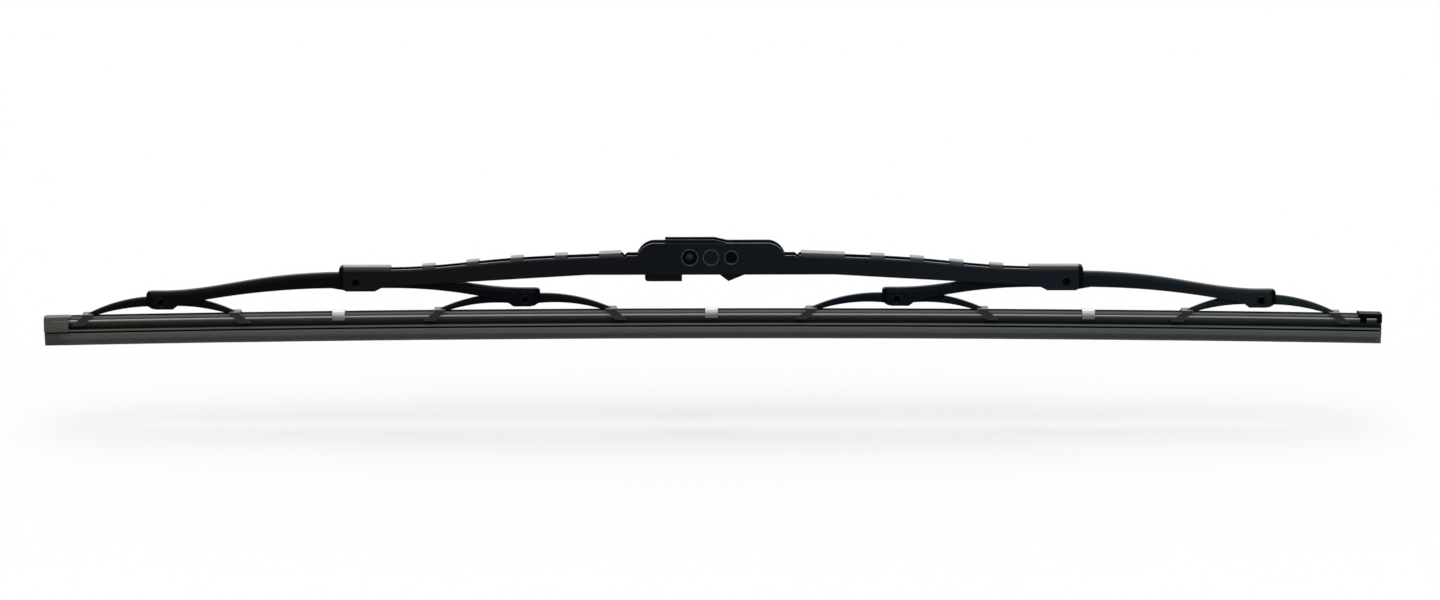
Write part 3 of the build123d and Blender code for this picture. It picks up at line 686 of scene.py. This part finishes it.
# where the strip takes painted shade instead of plain rubber, by the depth below its back
paintedShadeSet = {
    "neck": (1.3 * mm, 5.4 * mm),
    "hinge": (6.6 * mm, 7.7 * mm),
    "back": 0.3 * mm,
    "upright": 0.9,              # least upward part of the normal of a face of the back
    "blockMark": 14.0,           # mm: what the end block is marked with, past the edge of the lip
}


def endOfBlock():
    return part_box("wiper_rubber")[0].x + stripSet["blockLength"]


# the neck and the hinge lie in the shade of what is above them and take the sheltered rubber, whose colour
# paints that shade in, and the back takes a darker rubber as painted shade on the top of the strip
def paintShadeOnFaces(rubber):
    rubber.data.materials.append(paintedShadeRubber)
    rubber.data.materials.append(backPaintedShadeRubber)
    back = len(rubber.data.materials) - 1
    sheltered = back - 1
    blockEnd = endOfBlock()
    for face in rubber.data.polygons:
        corners = [rubber.data.vertices[index].co for index in face.vertices]
        depths = [depthUnderBack(corner) for corner in corners]
        isInside = max(abs(corner.y) for corner in corners) < stripSet["halfWidth"]
        for top, bottom in (paintedShadeSet["neck"], paintedShadeSet["hinge"]):
            if isInside and min(depths) > top and max(depths) < bottom:
                face.material_index = sheltered
        isTop = max(depths) < paintedShadeSet["back"] and face.normal.z > paintedShadeSet["upright"]
        if isTop and min(corner.x for corner in corners) > blockEnd:
            face.material_index = back


# marks each point of the strip with its depth under the back
def markDepth(piece):
    blockEnd = endOfBlock()
    piece.data.attributes.new(depthMark, "FLOAT", "POINT")
    marks = piece.data.attributes[depthMark].data
    for vertex, mark in zip(piece.data.vertices, marks):
        isBlock = abs(vertex.co.y) > stripSet["halfWidth"] or vertex.co.x < blockEnd
        mark.value = paintedShadeSet["blockMark"] if isBlock else depthUnderBack(vertex.co) / mm


def makeStrip():
    low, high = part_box("wiper_rubber")
    rubber = copyNode("wiper_rubber", "strip_rubber", stripSet["rubberRounding"])
    cutAcross(rubber, low.x, high.x, 0.0)
    pattern = makeLipPattern(low.x + lipSet["endMargin"], high.x - lipSet["endMargin"])
    joinAll([rubber, pattern], "strip_rubber")
    paintShadeOnFaces(rubber)
    markDepth(rubber)
    followYokes(rubber)
    print("rubber", len(rubber.data.polygons), "faces")
    for side in ("front", "rear"):
        rail = copyNode("rail_" + side, "strip_rail_" + side, stripSet["railRounding"])
        cutAcross(rail, low.x, high.x, stripSet["railTop"])
        markDepth(rail)
        smoothShade(rail)
        followYokes(rail)
    for place in ("clip_left", "clip_centre", "clip_right", "end_clip"):
        clip = copyNode("rail_" + place, "strip_" + place, stripSet["clipRounding"])
        smoothShade(clip)
        followYokes(clip)
    print("strip pieces follow the yokes")


makeStrip()

# semi-tubular rivets: a rolled rim round a deep dish, at both ends, with the floor of the dish painted black
# as shade
rivetSet = {
    "sides": 40,
    "endFacing": 0.99,           # least part of a normal along the rivet, for a face of its end
    # the rim and the dish from the outside in: inset as a share of the radius, rise in mm
    "steps": [(0.06, 0.14), (0.14, 0.02), (0.06, -0.4), (0.1, -0.65)],
}


def pickFaces(piece, test):
    editAll(piece)
    bpy.ops.mesh.select_mode(type="FACE")
    bpy.ops.mesh.select_all(action="DESELECT")
    bpy.ops.object.mode_set(mode="OBJECT")
    for face in piece.data.polygons:
        face.select = test(face)
    bpy.ops.object.mode_set(mode="EDIT")


def makeRivet(node):
    low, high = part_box(node)
    radius = (high.x - low.x) / 2
    deselectAll()
    bpy.ops.mesh.primitive_cylinder_add(vertices=rivetSet["sides"], radius=radius, depth=high.y - low.y,
                                        location=(low + high) / 2, rotation=(math.pi / 2, 0.0, 0.0))
    bpy.ops.object.transform_apply(location=True, rotation=True, scale=True)
    rivet = bpy.context.object
    rivet.name = rivet.data.name = node + "_rolled"
    rivet.data.materials.append(finishes["rivet_steel"])
    rivet.data.materials.append(borePaintedShade)
    for side in (-1, 1):
        pickFaces(rivet, lambda face: face.normal.y * side > rivetSet["endFacing"])
        for share, rise in rivetSet["steps"]:
            bpy.ops.mesh.inset(thickness=share * radius, depth=rise * mm)
        bpy.ops.object.mode_set(mode="OBJECT")
        for face in rivet.data.polygons:
            if face.select:  # what the last inset leaves selected is the floor of the dish
                face.material_index = 1
    smoothShade(rivet)
    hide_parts(node)
    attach(rivet, frame["nodes"][node]["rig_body"])


for node in frame["nodes"]:
    if node.startswith(("lever_rivet", "yoke_rivet")):
        makeRivet(node)
print("rivets rolled")

# liners: the moulded noses have soft edges
linerSet = {"rounding": 0.35 * mm}
for node in frame["nodes"]:
    if nodeSlots[node] == "liner_plastic":
        liner = copyNode(node, node + "_moulded", linerSet["rounding"])
        smoothShade(liner)
        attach(liner, frame["nodes"][node]["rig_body"])
print("liners moulded")

# yokes: their claws, which reach further out than halfWidth, are rubbed grey where they slide on the rails
yokeSet = {"rounding": 0.0, "halfWidth": 2.4 * mm}  # the stamped edges stay sharp
for yoke in yokeOrder:
    piece = copyNode("yoke_" + yoke, "yoke_" + yoke + "_stamped", yokeSet["rounding"])
    piece.data.materials.append(rubbedEnamelPaintedHighlight)
    for face in piece.data.polygons:
        reach = max(abs(piece.data.vertices[index].co.y) for index in face.vertices)
        face.material_index = 1 if reach > yokeSet["halfWidth"] else 0
    smoothShade(piece)
    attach(piece, frame["nodes"]["yoke_" + yoke]["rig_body"])
print("claws rubbed")

# pressed rims round the holes and the rivet of the hump, and the domed buttons of the adapter
humpSet = {
    "rims": {                    # place along X, radius
        "largeHole": (-9.5 * mm, 3.6 * mm),
        "rivet": (0.0, 3.45 * mm),
        "smallHole": (9.1 * mm, 3.0 * mm),
    },
    "rimWire": 0.22 * mm,
    "rimFlat": 0.6,              # height of a rim as a share of its wire
    "rimSegments": (56, 10),     # round the hole, round the wire
    "cheek": 6.8 * mm,           # outer face of the hump
    "domeRadius": 2.75 * mm,
    "domeFloor": 3.2 * mm,       # this and the next are measured out from the middle of the hump
    "domeTop": 5.45 * mm,
    "domeSegments": (40, 20),    # round the dome, rings
}


def makeRims():
    rings = []
    around, wire = humpSet["rimSegments"]
    for place, radius in humpSet["rims"].values():
        for side in (-1, 1):
            deselectAll()
            bpy.ops.mesh.primitive_torus_add(
                major_radius=radius, minor_radius=humpSet["rimWire"], major_segments=around,
                minor_segments=wire, location=(place, side * humpSet["cheek"], 0.0),
                rotation=(math.pi / 2, 0.0, 0.0))
            ring = bpy.context.object
            ring.scale.z = humpSet["rimFlat"]
            bpy.ops.object.transform_apply(location=True, rotation=True, scale=True)
            rings.append(ring)
    rims = joinAll(rings, "hump_rims")
    rims.data.materials.append(rimPaintedHighlight)
    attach(rims, "blade")


def makeDomes():
    halves = []
    around, rings = humpSet["domeSegments"]
    height = humpSet["domeTop"] - humpSet["domeFloor"]
    place = humpSet["rims"]["largeHole"][0]  # the buttons sit in the large holes
    for side in (-1, 1):
        deselectAll()
        bpy.ops.mesh.primitive_uv_sphere_add(segments=around, ring_count=rings,
                                             radius=humpSet["domeRadius"])
        half = bpy.context.object
        editAll(half)
        bpy.ops.mesh.bisect(plane_co=(0.0, 0.0, 0.0), plane_no=(0.0, side, 0.0), use_fill=True,
                            clear_inner=True)
        bpy.ops.object.mode_set(mode="OBJECT")
        half.location = (place, side * humpSet["domeFloor"], 0.0)
        half.scale.y = height / humpSet["domeRadius"]
        bpy.ops.object.transform_apply(location=True, rotation=True, scale=True)
        halves.append(half)
    domes = joinAll(halves, "adapter_domes")
    domes.data.materials.append(buttonNylonPaintedLight)
    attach(domes, "adapter")


makeRims()
makeDomes()
print("hump dressed")
